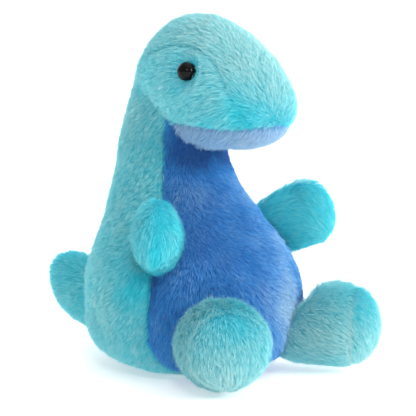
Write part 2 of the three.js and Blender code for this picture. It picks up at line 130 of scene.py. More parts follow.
# How unruly the clumps and tufts of each fabric's pile are, where it is not 1.
# Single strands follow it half-way.
SHAG = {
    "belly_panel": 0.45, "head_gusset": 0.65, "chin_panel": 0.6, "arm_inner_panel": 0.6,
    "arm_outer_panel": 0.8, "leg_inner_panel": 0.8, "foot_sole_panel": 0.8,
}
PARTING = 2.2 * MM  # how far from a seam the pile is pushed apart
PARTING_TRIM, PARTING_SHADE = 0.2, 0.12  # how much shorter the pile is there, and how much deeper it is painted: painted shade in the parting
BODY_PARTING, LIMB_PARTING = 0.5, 0.15  # how strongly the seams push it
BLENDING = 2.5 * MM  # how far across a seam the way that one panel is brushed still shows
FLOOR_GAP = 0.15 * MM  # the lowest that a strand reaches
LOW_PILE = 14 * MM  # below this height the pile is pressed flatter by the toy's weight,
PRESSED = 0.5  # down to this share of its length at the floor
BODY_PILE, BASE_PILE, CHIN_PILE = 3.3 * MM, 3.0 * MM, 3.5 * MM
BODY_LEAN = 48  # degrees from the skin's normal
BELLY_SPREAD, CHIN_SPREAD = 60 * MM, 50 * MM  # how soon the brushing turns outwards from the middle
GUSSET_MIDDLE = 8 * MM  # how far from the gusset's middle its pile has turned sideways
BROW_END, NOSE_REACH = 10 * MM, 30 * MM  # where the gusset's pile starts to rise, and how soon it is upright

# ---- limbs ----
ARM_SEED, LEG_SEED, TAIL_SEED = 20, 30, 40
# Each kind's skin voxel, and its pile's length and lean in degrees.
LIMB_KINDS = {
    "arm": (1.5 * MM, 3.6 * MM, 52),
    "leg": (1.8 * MM, 3.8 * MM, 55),
    "tail": (1.6 * MM, 3.8 * MM, 42),
}
# How much slimmer a limb is than the CAD's, as a share of its radius, and which way it is pushed, in
# millimetres: the toy is stuffed by hand, so no two of them are alike.
LEG_SHAPES = {"left": (0.05, (0.2, -0.6, -0.4)), "right": (0, (0, 0, 0))}
ARM_SHAPES = {"left": (0.05, (1.5, -0.2, 0.8)), "right": (0.03, (-0.6, 0.6, 0.4))}
LIMB_ROOT = 12 * MM  # the part of a limb that keeps its place
ROOT_REACH = 8 * MM  # how far a limb's skin is stretched into the body
SOLE_RISE = 10  # degrees by which the sole's pile stands up more than that of the leg's sides
ARM_LENGTH = 24 * MM
ARM_DOWN = 0.85  # how far the pile round an arm's end turns down
LEG_DOWN, TAIL_DOWN = 0.4, 0.35

# ---- colour of the pile ----
# How much paler, or deeper below 0, the pile of each fabric is painted: partly for how it is brushed, partly
# painted light and shade for how the panel faces the lamps, which makes the arms, the tail and the chin deeper and
# the nape and the head's gusset paler.
BRUSH_AND_PAINTED_LIGHT_TONES = {
    "body_side_panel": -0.08, "belly_panel": -0.03, "base_panel": 0.0, "cheek_panel": -0.08,
    "nape_panel": 0.2, "head_gusset": 0.12, "chin_panel": -0.3, "arm_inner_panel": -0.38,
    "arm_outer_panel": -0.22, "leg_inner_panel": 0.0, "leg_outer_panel": 0.15, "foot_sole_panel": 0.02,
    "tail_panel": -0.34,
}
BOTH, LEFT = 0, 1
# Spots where the pile is painted paler or deeper still, as painted light and shade: (side of the toy, place,
# radius, amount).
PAINTED_LIGHT_AND_SHADE_SPOTS = [
    (BOTH, (0.0050, -0.0200, 0.1240), 18 * MM, 0.28),  # the top of the head, painted light from above
    (BOTH, (0.0020, -0.0460, 0.1000), 9 * MM, 0.2),  # the nose, painted light
    (BOTH, (0.0142, -0.0365, 0.0965), 6 * MM, -0.5),  # painted shade where the muzzle's pile parts over the end of the cheek
    (BOTH, (0.0110, -0.0415, 0.0935), 6 * MM, -0.4),
    (BOTH, (0.0060, -0.0340, 0.1120), 9 * MM, 0.2),  # the forehead, painted light from above
    (BOTH, (0.0180, 0.0030, 0.0780), 8 * MM, -0.05),  # painted shade on the side of the neck, beside the belly panel
    (BOTH, (0.0370, -0.0083, 0.0356), 9 * MM, -0.45),  # painted shade on the flank behind the leg
    (BOTH, (0.0070, -0.0065, 0.0815), 6.5 * MM, -0.9),  # painted shade in the throat
    (BOTH, (0.0117, -0.0205, 0.0860), 7 * MM, -0.5),  # painted shade at the back of the chin
    (BOTH, (0.0120, -0.0100, 0.0660), 8 * MM, 0.15),  # painted light on the chest
    (LEFT, (0.0085, -0.0380, 0.0270), 11 * MM, 0.45),  # painted sheen on the belly beside the left leg
    (LEFT, (0.0150, -0.0270, 0.0450), 9 * MM, 0.2),  # and painted sheen above it
    (LEFT, (0.0136, -0.0488, 0.0150), 10 * MM, 0.5),  # painted light on the left leg's inner side, near the floor
    (BOTH, (0.0155, 0.0160, 0.0910), 12 * MM, 0.2),  # painted rim light on the side of the neck, under the nape
    (BOTH, (0.0080, 0.0560, 0.0180), 9 * MM, 0.25),  # painted light on the tail's underside
    (BOTH, (0.0392, 0.0040, 0.0280), 10 * MM, 0.15),  # painted rim light on the hip
    (BOTH, (0.0333, -0.0518, 0.0305), 9 * MM, -0.4),  # painted shade on the top of the sole
    (BOTH, (0.0388, -0.0531, 0.0090), 11 * MM, 0.45),  # and painted light along its lower edge
]
MOTTLE, MOTTLE_SCALE = 0.05, 12 * MM
SOLE_RIM, SOLE_RIM_PAINTED_SHEEN = 4 * MM, 0.35  # the leg's sides are painted paler this near to the sole: painted sheen along the sole's edge
ARM_SEAM, ARM_SEAM_PAINTED_SHADE = 1.6 * MM, 0.3  # the arm is painted deeper this near to its seam: painted shade along the seam
PALETTE_START, PALETTE_LENGTH = 0.01, 0.12  # where a strand's root lies across the palette, and its length
PALETTE_ROW = 0.04  # its width on the palette

# ---- eyes ----
EYE_RADIUS = 3.3 * MM
EYE_DOME = 2.5 * MM
EYE_PROUD = 0.3 * MM  # how much further out the eye stands than the CAD's, because the pile hides its rim
EYE_SIDES = 48
DOME_RINGS, DOME_TOP = 14, 5  # the rings of the dome, of which the last is 5 degrees from its top
EYE_EDGE = [(0.86, -2.7), (0.97, -2.3), (1, -1.2)]  # rings behind the rim: share of the radius, millimetres
EYE_HOLLOW = 3.0 * MM  # how far round an eye the pile is trimmed and pushed aside
EYE_BARE = 0.9  # no pile is rooted within this share of the eye's radius
EYE_PUSH, EYE_TRIM = 2.2, 0.45  # how much the pile beside an eye is pushed aside and trimmed
EYE_BACK = -10 * MM  # only what lies in front of this, along the eye's axis, is beside the eye
SOCKET_RADIUS, SOCKET_DEPTH = 5 * MM, 0.5 * MM  # the dent in the skin that an eye sits in

# ---- camera and light ----
# Degrees and metres, and millimetres for the lens; aside is how far the aim is to the camera's right.
CAMERA = {"azimuth": -45, "elevation": 8.2, "distance": 0.9, "height": 0.0582, "aside": 0.0047, "lens": 215.7}
WHITE, WARM = (1, 1, 1), (1, 0.95, 0.87)
FLOOR_HALF = 6  # metres
FLOOR_GLOW = 0.4  # the floor is a light table
SURROUNDINGS = 0.58
# Wide soft lamps: azimuth, elevation, strength, angle that the lamp fills, all angles in degrees, and colour.
SUNS = {
    "overhead": (40, 65, 1.1, 80, WHITE),
    "right_side": (50, 12, 1.25, 60, WARM),
    "behind_left": (160, 15, 1.0, 30, WHITE),
    "behind_right": (110, 15, 0.7, 30, WHITE),
}
# Small lamps one metre away, whose reflections are the eyes' highlights: how far to the right of the camera's
# line, above it and towards the camera, then side, radiance and colour.
WINDOWS = {
    "side_window": ((0.79, 0.26, 0.55), 0.2, 42, WARM),
    "front_window": ((0, 0.39, 0.92), 0.16, 24, WHITE),
}


# ---- arrays and meshes ----
def unit(v):
    return v / np.maximum(np.linalg.norm(v, axis=-1, keepdims=True), 1e-12)


def smoothstep(t):
    """Rises smoothly from 0 to 1 as t does."""
    t = np.clip(t, 0, 1)
    return t * t * (3 - 2 * t)


def tangent(directions, normals):
    """The directions laid flat on the surface."""
    return unit(directions - (directions * normals).sum(1, keepdims=True) * normals)


def waves(points, scale, seed):
    """A smooth field between about -1 and 1: waves that run different ways, about scale long."""
    rng = np.random.default_rng(seed)
    total = np.zeros(len(points))
    for _ in range(WAVES):
        direction = unit(rng.normal(size=3))
        wave = 2 * math.pi / (scale * rng.uniform(0.7, 1.5))
        total += np.sin(points @ direction * wave + rng.uniform(0, 6.3))
    return total / (WAVES / 2)


def mesh_arrays(mesh):
    """(vertices, triangles) of a mesh."""
    vertices = np.zeros(len(mesh.vertices) * 3)
    mesh.vertices.foreach_get("co", vertices)
    mesh.calc_loop_triangles()
    triangles = np.zeros(len(mesh.loop_triangles) * 3, int)
    mesh.loop_triangles.foreach_get("vertices", triangles)
    return vertices.reshape(-1, 3), triangles.reshape(-1, 3)


def node_arrays(names):
    """The CAD nodes' vertices and triangles as one pair of arrays."""
    points, faces, count = [], [], 0
    for name in names:
        vertices, triangles = mesh_arrays(frame["nodes"][name].data)
        points.append(vertices)
        faces.append(triangles + count)
        count += len(vertices)
    return np.concatenate(points), np.concatenate(faces)


def tree(vertices, triangles):
    return BVHTree.FromPolygons([Vector(v) for v in vertices], triangles.tolist())


def linked(name, data):
    """A new object in the scene."""
    obj = bpy.data.objects.new(name, data)
    bpy.context.scene.collection.objects.link(obj)
    return obj


def made(name, vertices, faces):
    mesh = bpy.data.meshes.new(name)
    mesh.from_pydata([tuple(v) for v in vertices], [], [tuple(f) for f in faces])
    return linked(name, mesh)


def apply_modifiers(obj):
    evaluated = obj.evaluated_get(bpy.context.evaluated_depsgraph_get())
    mesh = bpy.data.meshes.new_from_object(evaluated)
    obj.modifiers.clear()
    old, obj.data = obj.data, mesh
    bpy.data.meshes.remove(old)


def get_points(mesh):
    points = np.zeros(len(mesh.vertices) * 3)
    mesh.vertices.foreach_get("co", points)
    return points.reshape(-1, 3)


def set_points(mesh, points):
    mesh.vertices.foreach_set("co", points.astype(np.float32).ravel())
    mesh.update()


def get_normals(mesh):
    normals = np.zeros(len(mesh.vertices) * 3)
    mesh.vertex_normals.foreach_get("vector", normals)
    return normals.reshape(-1, 3)


def relaxed(mesh, rounds):
    """Smooths the mesh without shrinking it: each round pulls the points together and lets them out again."""
    edges = np.zeros(len(mesh.edges) * 2, int)
    mesh.edges.foreach_get("vertices", edges)
    a, b = edges.reshape(-1, 2).T
    points = get_points(mesh)
    count = np.bincount(np.concatenate([a, b]), minlength=len(points))[:, None]
    for share in (PULL_IN, LET_OUT) * rounds:
        total = np.zeros_like(points)
        for k in range(3):
            total[:, k] = np.bincount(a, points[b, k], len(points))
            total[:, k] += np.bincount(b, points[a, k], len(points))
        points += share * (total / count - points)
    set_points(mesh, points)


def outer_shell(obj):
    """Deletes every island of the mesh but the largest, which leaves out the walls of its sealed hollows."""
    vertices, triangles = mesh_arrays(obj.data)
    label = np.arange(len(vertices))
    while True:
        low = label[triangles].min(1)
        new = label.copy()
        for k in range(3):
            np.minimum.at(new, triangles[:, k], low)
        new = new[new]
        if (new == label).all():
            break
        label = new
    names, counts = np.unique(label, return_counts=True)
    if len(names) == 1:
        return
    keep = label == names[counts.argmax()]
    faces = [tuple(p.vertices) for p in obj.data.polygons if keep[p.vertices[0]]]
    index = np.cumsum(keep) - 1
    mesh = bpy.data.meshes.new(obj.name)
    mesh.from_pydata([tuple(v) for v in vertices[keep]], [], [tuple(index[i] for i in f) for f in faces])
    obj.data = mesh


# ---- skins ----
def eye_place(side):
    """The middle of an eye's rim and its outward direction, from the eye and the washer behind it."""
    eye, _ = node_arrays([f"eye_{side}"])
    washer, _ = node_arrays([f"eye_washer_{side}"])
    axis = unit(eye.mean(0) - washer.mean(0))
    top = ((eye - washer.mean(0)) @ axis).max()
    return washer.mean(0) + axis * (top - EYE_DOME + EYE_PROUD), axis


EYES = {side: eye_place(side) for side in ("left", "right")}
SOCKETS = [(centre, SOCKET_RADIUS, SOCKET_DEPTH) for centre, _ in EYES.values()]


def wrapped(name, nodes, closing, voxel, room):
    """One closed mesh round the CAD nodes, under the pile, with gaps up to twice closing bridged."""
    vertices, triangles = node_arrays(nodes)
    obj = made(name, vertices, triangles)
    set_points(obj.data, vertices + get_normals(obj.data) * closing)
    remesh = obj.modifiers.new("Wrap", "REMESH")
    remesh.mode = "VOXEL"
    remesh.voxel_size = voxel
    apply_modifiers(obj)
    outer_shell(obj)
    relaxed(obj.data, WRAP_ROUNDS)
    set_points(obj.data, get_points(obj.data) - get_normals(obj.data) * (closing + PILE_DEPTH + room))
    relaxed(obj.data, SUNK_ROUNDS)
    return obj


def swell(obj, pinned):
    """Fills the skin out under pressure, held along its seams, with no point moved further than SWELL_CAP."""
    before = get_points(obj.data)
    group = obj.vertex_groups.new(name="seams")
    group.add([int(i) for i in np.flatnonzero(pinned)], 1.0, "REPLACE")
    obj.scale = (SIM_SCALE,) * 3
    cloth = obj.modifiers.new("Cloth", "CLOTH")
    cloth.settings.use_pressure = True
    cloth.settings.uniform_pressure_force = SIM_PRESSURE
    cloth.settings.effector_weights.gravity = 0
    cloth.settings.vertex_group_mass = "seams"
    cloth.point_cache.frame_start = 1
    cloth.point_cache.frame_end = SIM_FRAMES
    for step in range(1, SIM_FRAMES + 1):
        bpy.context.scene.frame_set(step)
    apply_modifiers(obj)
    bpy.context.scene.frame_set(1)
    obj.scale = (1, 1, 1)
    moved = get_points(obj.data) - before
    length = np.linalg.norm(moved, axis=1, keepdims=True)
    set_points(obj.data, before + moved * np.minimum(1, SWELL_CAP / np.maximum(length, 1e-9)))


class Skin:
    """A sewn part's skin with, for each point, how far each fabric panel is."""

    def __init__(self, obj, panels):
        self.obj = obj
        self.panels = panels
        self.points, self.triangles = mesh_arrays(obj.data)
        self.normals = get_normals(obj.data)
        self.distances = np.zeros((len(self.points), len(panels)))
        nearest = np.zeros((len(self.points), len(panels), 3))
        for k, panel in enumerate(panels):
            panel_tree = tree(*node_arrays([panel]))
            for i, point in enumerate(self.points):
                found = panel_tree.find_nearest(Vector(point))
                nearest[i, k] = found[0]
                self.distances[i, k] = found[3]
        rows = np.arange(len(self.points))
        order = np.argsort(self.distances, axis=1)
        self.seam = self.distances[rows, order[:, 1]] - self.distances[rows, order[:, 0]]
        away = self.points - nearest[rows, order[:, 1]]
        away -= (away * self.normals).sum(1, keepdims=True) * self.normals
        self.away = unit(away)
        self.tree = tree(self.points, self.triangles)

    def drawn_in(self):
        """How far the points are from the seams that draw the skin in."""
        apart = np.linalg.norm(self.points - FLUSH_PLACE, axis=1)
        return self.seam + FLUSH_SHIFT * np.exp(-(apart / FLUSH_RADIUS) ** 4)

    def holds(self, points):
        """Which of the points lie inside the skin."""
        low, high = self.points.min(0), self.points.max(0)
        inside = ((points > low) & (points < high)).all(1)
        for i in np.flatnonzero(inside):
            place, normal, _, _ = self.tree.find_nearest(Vector(points[i]))
            inside[i] = (Vector(points[i]) - place).dot(normal) < 0
        return inside


def sewn_skin(name, nodes, panels, closing, voxel, room, reach=None):
    """A part's finished skin: wrapped, swollen between its seams and pinched along them."""
    obj = wrapped(name, nodes, closing, voxel, room)
    if reach:
        reach(obj)
    swell(obj, Skin(obj, panels).drawn_in() < SEAM_WIDTH / 2)
    relaxed(obj.data, SWOLLEN_ROUNDS)
    smooth = obj.modifiers.new("Smooth", "SUBSURF")
    smooth.levels = 1
    apply_modifiers(obj)
    points = get_points(obj.data)
    sunk = SEAM_DEPTH * (1 - smoothstep(Skin(obj, panels).drawn_in() / SEAM_WIDTH))
    sunk += UNEVEN * waves(points, UNEVEN_SCALE, len(name))
    for place, radius, depth in HOLLOWS + SOCKETS:
        sunk += depth * np.exp(-(np.linalg.norm(points - place, axis=1) / radius) ** 2)
    set_points(obj.data, points - get_normals(obj.data) * sunk[:, None])
    return Skin(obj, panels)


# ---- pile ----
def plain_name(panel):
    return panel.replace("_left", "").replace("_right", "")


class Roots:
    """Points scattered evenly over a skin, with what the skin knows at each."""

    def __init__(self, skin, seed):
        rng = np.random.default_rng(seed)
        corners = [skin.points[skin.triangles[:, k]] for k in range(3)]
        areas = np.linalg.norm(np.cross(corners[1] - corners[0], corners[2] - corners[0]), axis=1) / 2
        count = int(areas.sum() * DENSITY)
        ticks = (np.arange(count) + rng.random(count)) / count * areas.sum()
        face = np.minimum(np.searchsorted(np.cumsum(areas), ticks), len(areas) - 1)
        u, v = rng.random((2, count))
        flip = u + v > 1
        u[flip], v[flip] = 1 - u[flip], 1 - v[flip]
        shares = (1 - u - v, u, v)

        def mixed(values):
            rows = [values[skin.triangles[face, k]] for k in range(3)]
            return sum(s.reshape((-1,) + (1,) * (values.ndim - 1)) * r for s, r in zip(shares, rows))

        self.skin = skin
        self.points = mixed(skin.points)
        self.normals = unit(mixed(skin.normals))
        self.away = mixed(skin.away)
        distances = mixed(skin.distances)
        self.panel = distances.argmin(1)
        self.last = distances[:, -1]  # how far the last panel is
        self.shares = np.exp(-(distances - distances.min(1, keepdims=True)) / BLENDING)
        ordered = np.sort(distances, axis=1)
        self.seam = ordered[:, 1] - ordered[:, 0]

    def keep(self, mask):
        for name in ("points", "normals", "away", "panel", "seam", "last", "shares"):
            setattr(self, name, getattr(self, name)[mask])

    def on(self, name):
        """Which of the roots are on a panel of that name, whichever its side."""
        return np.array([plain_name(panel) == name for panel in self.skin.panels])[self.panel]

    def pressed(self):
        """How much of the pile's length is left near the floor."""
        return PRESSED + (1 - PRESSED) * smoothstep(self.points[:, 2] / LOW_PILE)


def tone_with_painted_light(roots):
    """How much paler, or deeper below 0, the strand at each root is: its brushing, random mottling, and painted
    light and shade.
    """
    names = [plain_name(panel) for panel in roots.skin.panels]
    tone = roots.shares @ np.array([BRUSH_AND_PAINTED_LIGHT_TONES[name] for name in names]) / roots.shares.sum(1)
    tone += MOTTLE * waves(roots.points, MOTTLE_SCALE, MOTTLE_SEED)
    mirrored = roots.points.copy()
    mirrored[:, 0] = np.abs(mirrored[:, 0])
    for side, place, radius, amount in PAINTED_LIGHT_AND_SHADE_SPOTS:
        apart = np.linalg.norm((mirrored if side == BOTH else roots.points) - place, axis=1)
        tone = tone + amount * np.exp(-(apart / radius) ** 2)
    # Painted shade along the arm's seam.
    if names[0] == "arm_inner_panel":
        tone = tone - ARM_SEAM_PAINTED_SHADE * np.exp(-(roots.seam / ARM_SEAM) ** 2)
    # Painted sheen on the leg's sides along the sole's edge.
    if names[-1] == "foot_sole_panel":
        rim = 1 - smoothstep(roots.last / SOLE_RIM)
        tone = tone + SOLE_RIM_PAINTED_SHEEN * rim * ~roots.on("foot_sole_panel")
    return tone


def gathered(points, centres):
    """The nearest centre to each point, and its number."""
    centre_tree = KDTree(len(centres))
    for i, c in enumerate(centres):
        centre_tree.insert(Vector(points[c]), i)
    centre_tree.balance()
    member = np.array([centre_tree.find(Vector(p))[1] for p in points])
    return points[centres[member]], member


def strands(roots, comb, length, lean, seed, parted):
    """Each root's strand as seven points, and its shade from 0, deep, to 1, pale.

    comb is the way the pile is brushed, lean its angle from the skin's normal in degrees and parted is how
    much the seams push the pile apart.
    """
    rng = np.random.default_rng(seed)
    count = len(roots.points)
    centre, member = gathered(roots.points, rng.choice(count, max(1, count // CLUMP_SIZE), replace=False))
    shag = np.array([SHAG.get(plain_name(panel), 1) for panel in roots.skin.panels])[roots.panel][:, None]
    per_clump = rng.normal(size=(count, 3))[member] * shag
    _, member = gathered(roots.points, rng.choice(count, max(1, count // TUFT_SIZE), replace=False))
    per_tuft = rng.normal(size=(count, 3))[member] * shag
    per_strand = rng.normal(size=(count, 3)) * (0.5 + 0.5 * shag)

    def varied(column, amounts):
        scatters = (per_clump, per_tuft, per_strand)
        return sum(amount * scatter[:, column] for amount, scatter in zip(amounts, scatters))

    parting = np.exp(-(roots.seam / PARTING) ** 2)
    along = tangent(comb, roots.normals) + parted * parting[:, None] * roots.away
    along = tangent(along, roots.normals)
    across = np.cross(roots.normals, along)
    turn = np.radians(varied(0, TURNS) + DRIFT * waves(roots.points, DRIFT_SCALE, seed))
    along = along * np.cos(turn)[:, None] + across * np.sin(turn)[:, None]
    across = np.cross(roots.normals, along)
    size = length * (1 + varied(1, LENGTHS)) * (1 - PARTING_TRIM * parted * parting)
    lean = lean - LOOSE_RISE * (rng.random(count) < LOOSE_SHARE)
    tilt = np.radians(np.clip(lean + varied(2, TILTS), *LEAN_LIMITS))
    up = (size * np.cos(tilt))[:, None] * roots.normals
    over = (size * np.sin(tilt))[:, None] * along
    start = roots.points - roots.normals * STRAND_SINK

    twist = rng.uniform(-math.pi / 2, math.pi / 2, count)
    flat = across * np.cos(twist)[:, None] + roots.normals * np.sin(twist)[:, None]
    rows = []
    for k, s in enumerate(STATIONS):
        middle = start + up * math.sin(s * math.pi / 2) ** RISE_BEND + over * s**REACH_BEND
        middle += (centre - roots.points) * CLUMP * s**CLUMP_BEND
        middle[:, 2] = np.maximum(middle[:, 2], FLOOR_GAP)
        if k < len(TAPER):
            half = flat * STRAND_WIDTH / 2 * TAPER[k]
            rows += [middle - half, middle + half]
        else:
            rows.append(middle)
    # The shade takes the painted light and shade of the tones and spots, and the painted shade of the parting.
    shade = MIDDLE_SHADE + varied(1, SHADES) + tone_with_painted_light(roots) - PARTING_SHADE * parted * parting
    return np.stack(rows, axis=1), np.clip(shade, *SHADE_LIMITS)


# A strand is two quads and a triangle: its corners one face after another, and where each face starts.
STRAND_LOOPS = np.array([1, 0, 2, 3, 3, 2, 4, 5, 5, 4, 6])
STRAND_FACES = np.array([0, 4, 8])
STRAND_POINTS = 7


def strand_mesh(name, points, shade):
    """One mesh of strands, mapped on the palette: root to tip across, deep to pale upwards."""
    count = len(points)
    number = np.arange(count)[:, None]
    mesh = bpy.data.meshes.new(name)
    mesh.vertices.add(count * STRAND_POINTS)
    mesh.vertices.foreach_set("co", points.astype(np.float32).ravel())
    loops = (STRAND_LOOPS[None, :] + STRAND_POINTS * number).ravel()
    mesh.loops.add(len(loops))
    mesh.loops.foreach_set("vertex_index", loops.astype(np.int32))
    starts = (STRAND_FACES[None, :] + len(STRAND_LOOPS) * number).ravel()
    mesh.polygons.add(len(starts))
    mesh.polygons.foreach_set("loop_start", starts.astype(np.int32))
    palette = mesh.uv_layers.new(name="OFBake")
    across = np.repeat(STATIONS, [2, 2, 2, 1])[STRAND_LOOPS] * PALETTE_LENGTH
    side = np.array([0, 1, 0, 1, 0, 1, 0.5])[STRAND_LOOPS] * PALETTE_ROW
    uv = np.zeros((count, len(STRAND_LOOPS), 2))
    uv[:, :, 0] = across + PALETTE_START
    uv[:, :, 1] = shade[:, None] * (1 - PALETTE_ROW) + side
    palette.data.foreach_set("uv", uv.astype(np.float32).ravel())
    mesh.update(calc_edges=True)
    return linked(name, mesh)


# ---- materials ----
def principled(name, **values):
    material = bpy.data.materials.new(name)
    material.use_nodes = True
    shader = material.node_tree.nodes["Principled BSDF"]
    for key, value in values.items():
        shader.inputs[key.replace("_", " ")].default_value = value
    return material, material.node_tree, shader


def ramp(graph, stops):
    node = graph.nodes.new("ShaderNodeValToRGB")
    elements = node.color_ramp.elements
    while len(elements) < len(stops):
        elements.new(0.5)
    for element, (position, colour) in zip(elements, stops):
        element.position = position
        element.color = (*colour, 1)
    return node


def pile_material(name, *rows):
    """Pile from root to tip: the rows of the palette go from the deepest strands to the palest."""
    material, graph, shader = principled(name, Roughness=0.72, Sheen_Weight=0.25, Sheen_Roughness=0.45,
                                         Specular_IOR_Level=0.25)
    uv = graph.nodes.new("ShaderNodeUVMap")
    uv.uv_map = "OFBake"
    split = graph.nodes.new("ShaderNodeSeparateXYZ")
    graph.links.new(uv.outputs["UV"], split.inputs[0])
    colour = None
    for number, stops in enumerate(rows):
        colours = ramp(graph, [(PALETTE_START + s * PALETTE_LENGTH, c) for s, c in stops])
        graph.links.new(split.outputs["X"], colours.inputs["Fac"])
        if colour is None:
            colour = colours.outputs["Color"]
            continue
        factor = graph.nodes.new("ShaderNodeMath")
        factor.operation = "MULTIPLY_ADD"
        factor.use_clamp = True
        graph.links.new(split.outputs["Y"], factor.inputs[0])
        factor.inputs[1].default_value = len(rows) - 1
        factor.inputs[2].default_value = 1 - number
        mix = graph.nodes.new("ShaderNodeMix")
        mix.data_type = "RGBA"
        graph.links.new(factor.outputs[0], mix.inputs[0])
        graph.links.new(colour, mix.inputs[6])
        graph.links.new(colours.outputs["Color"], mix.inputs[7])
        colour = mix.outputs[2]
    graph.links.new(colour, shader.inputs["Base Color"])
    return material


def speckled_material(name, scale, stops, **values):
    """A material with fine noise between two colours."""
    material, graph, shader = principled(name, **values)
    place = graph.nodes.new("ShaderNodeTexCoord")
    noise = graph.nodes.new("ShaderNodeTexNoise")
    noise.inputs["Scale"].default_value = scale
    graph.links.new(place.outputs["Object"], noise.inputs["Vector"])
    colours = ramp(graph, stops)
    graph.links.new(noise.outputs["Fac"], colours.inputs["Fac"])
    graph.links.new(colours.outputs["Color"], shader.inputs["Base Color"])
    return material


def backing_material(name, dark, light):
    """The knitted backing that the pile is rooted in."""
    return speckled_material(name, scale=900, stops=[(0.3, dark), (0.7, light)], Roughness=0.9,
                             Sheen_Weight=0.2, Specular_IOR_Level=0.2)


# Each row of a palette is one strand's colours at its root, its middle and its tip. Strands painted deeper for
# shade take the deeper rows and those painted paler for light the paler ones.
PILES = {
    "turquoise_plush": pile_material(
        "turquoise_pile",
        [(0, (0.01, 0.56, 0.70)), (0.5, (0.02, 0.68, 0.80)), (1, (0.05, 0.76, 0.86))],
        [(0, (0.03, 0.44, 0.52)), (0.5, (0.22, 0.68, 0.74)), (1, (0.83, 0.92, 0.87))],
    ),
    "blue_plush": pile_material(
        "blue_pile",
        # The deepest row is the painted shade of the throat.
        [(0, (0.01, 0.04, 0.20)), (0.5, (0.012, 0.09, 0.34)), (1, (0.015, 0.14, 0.48))],
        [(0, (0.01, 0.12, 0.42)), (0.5, (0.02, 0.26, 0.72)), (1, (0.07, 0.42, 0.82))],
        [(0, (0.03, 0.26, 0.62)), (0.5, (0.24, 0.52, 0.80)), (1, (0.66, 0.82, 0.84))],
    ),
    "chin_plush": pile_material(
        "chin_pile",
        [(0, (0.12, 0.28, 0.58)), (0.5, (0.24, 0.48, 0.76)), (1, (0.38, 0.62, 0.82))],
        [(0, (0.18, 0.38, 0.68)), (0.5, (0.48, 0.70, 0.90)), (1, (0.76, 0.86, 0.86))],
    ),
}
BACKINGS = {
    "turquoise_plush": backing_material("turquoise_backing", (0.01, 0.50, 0.64), (0.02, 0.58, 0.72)),
    "blue_plush": backing_material("blue_backing", (0.01, 0.12, 0.46), (0.02, 0.18, 0.56)),
    "chin_plush": backing_material("chin_backing", (0.12, 0.26, 0.56), (0.18, 0.34, 0.64)),
}

SLOT_OF = {row["node"]: row["material_slot"] for row in frame["record"]["subparts"]}
MIDDLE_OF = {n: sum(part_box(n), Vector()) / 2 for n in frame["nodes"]}
JOINT = {j["child"]: j for j in frame["joints"]}


# ---- pile and cloth of one skin ----
def plant(roots, comb, length, lean, seed, carry, parted):
    """The pile of one skin, as one piece or more for each fabric panel."""
    points, shade = strands(roots, comb, length, lean, seed, parted)
    for k, panel in enumerate(roots.skin.panels):
        mine = np.flatnonzero(roots.panel == k)
        if not len(mine):
            continue
        mine = mine[np.argsort(roots.points[mine, 2], kind="stable")]
        shares = np.array_split(mine, math.ceil(len(mine) / STRANDS_PER_PIECE))
        for number, share in enumerate(shares, 1):
            ending = f"_{number}" if len(shares) > 1 else ""
            piece = strand_mesh(panel.replace("panel", "pile") + ending, points[share], shade[share])
            piece.data.materials.append(PILES[SLOT_OF[panel]])
            carry(piece)


def cut_out(skin, replaced, carry):
    """Cuts the skin into its fabric panels along the seams, each a closed cloth of its own thickness."""
    corners = [p.vertices[:] for p in skin.obj.data.polygons]
    owner = skin.distances.argmin(1)
    for k, panel in enumerate(skin.panels):
        faces = [c for c in corners if np.bincount(owner[list(c)]).argmax() == k]
        used = np.unique(np.concatenate([list(c) for c in faces]))
        index = {int(v): i for i, v in enumerate(used)}
        outline = [[index[v] for v in c] for c in faces]
        cloth = made(panel.replace("panel", "cloth"), skin.points[used], outline)
        thicken = cloth.modifiers.new("Thickness", "SOLIDIFY")
        thicken.thickness = CLOTH_THICKNESS
        thicken.offset = -1
        apply_modifiers(cloth)
        cloth.data.materials.append(BACKINGS[SLOT_OF[panel]])
        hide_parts(panel, *(replaced if k == 0 else ()))
        carry(cloth)
    bpy.data.objects.remove(skin.obj)


# ---- limbs ----
def limb_direction(body, nodes):
    """Where a limb is sewn on, and the way it points."""
    root = Vector(JOINT[body]["pos_m"])
    middle = sum((MIDDLE_OF[n] for n in nodes), Vector()) / len(nodes)
    return np.array(root), np.array((middle - root).normalized())


def reaching(root, direction, slim, nudge):
    """Stretches a limb's root into the body, so that no gap shows where it is sewn on.

    The rest of the limb is made slimmer by a share of its radius, and nudged.
    """
    def stretch(obj):
        points = get_points(obj.data)
        along = (points - root) @ direction
        share = smoothstep(along / LIMB_ROOT)[:, None]
        radial = points - root - np.outer(along, direction)
        points -= ROOT_REACH * (1 - share) * direction + slim * share * radial
        set_points(obj.data, points + share * nudge)
    return stretch


def tail_comb(roots, root, direction):
    return np.tile(direction - TAIL_DOWN * Z, (len(roots.points), 1))


def arm_comb(roots, root, direction):
    """Out along the arm at its root, and down round its end."""
    down = ARM_DOWN * smoothstep((roots.points - root) @ direction / ARM_LENGTH)[:, None]
    return (1 - down) * direction - down * Z


def foot_comb(roots, root, direction):
    """Out along the leg's sides, and straight down the sole."""
    sole = roots.shares[:, -1:] / roots.shares.sum(1, keepdims=True)
    downward = tangent(np.tile(-Z, (len(roots.points), 1)), roots.normals)
    outward = tangent(np.tile(direction - LEG_DOWN * Z, (len(roots.points), 1)), roots.normals)
    return sole * downward + (1 - sole) * outward


